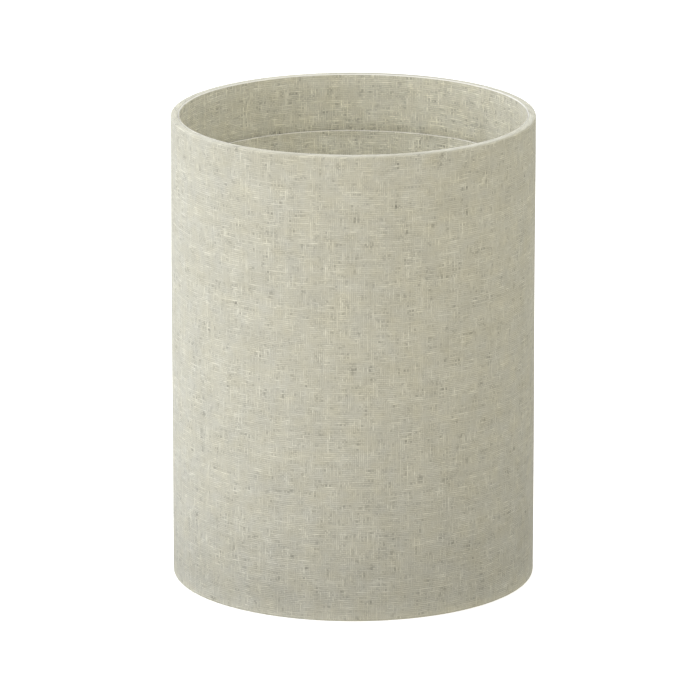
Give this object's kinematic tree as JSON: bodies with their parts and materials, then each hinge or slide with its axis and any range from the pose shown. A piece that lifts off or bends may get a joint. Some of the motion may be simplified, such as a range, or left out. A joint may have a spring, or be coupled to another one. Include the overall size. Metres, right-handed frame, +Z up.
{
  "type": "lamp shade",
  "caption": "Tall straight-sided drum lamp shade in natural linen, with rolled rims, a matching linen lining and a wire fitter at the bottom that a lampholder clamps.",
  "frame": {"origin": "on the shade's axis, at the level of the bottom rim that it stands on", "axes": "+Z up along the axis, towards the open top; -Y is the side turned to the viewer, +Y carries the outer seam"},
  "size_m": [0.2, 0.2, 0.26],
  "materials": {
    "linen": "natural slubby linen, plain weave, matt",
    "backing_film": "translucent white styrene film, satin",
    "adhesive_tape": "thin clear adhesive tape",
    "white_enamel": "white baked enamel on steel",
    "white_plastic": "moulded white plastic, satin"
  },
  "bodies": {
    "shade": {"outer_linen": "linen", "top_facing_linen": "linen", "bottom_facing_linen": "linen", "lining_linen": "linen", "outer_film": "backing_film", "top_facing_film": "backing_film", "bottom_facing_film": "backing_film", "lining_film": "backing_film", "outer_seam_tape": "adhesive_tape", "top_facing_tape": "adhesive_tape", "bottom_facing_tape": "adhesive_tape", "lining_seam_tape": "adhesive_tape", "lining_top_tape": "adhesive_tape", "lining_bottom_tape": "adhesive_tape", "top_ring": "white_enamel", "bottom_ring": "white_enamel", "spider_arm_1": "white_enamel", "spider_arm_2": "white_enamel", "spider_arm_3": "white_enamel", "hub_ring": "white_enamel"},
    "reducer": {"reducer_ring": "white_plastic"}
  },
  "joints": [
    {"name": "reducer_lift", "type": "slide", "parent": "shade", "child": "reducer", "axis": [0, 0, 1], "range_m": [0, 0.25]}
  ]
}
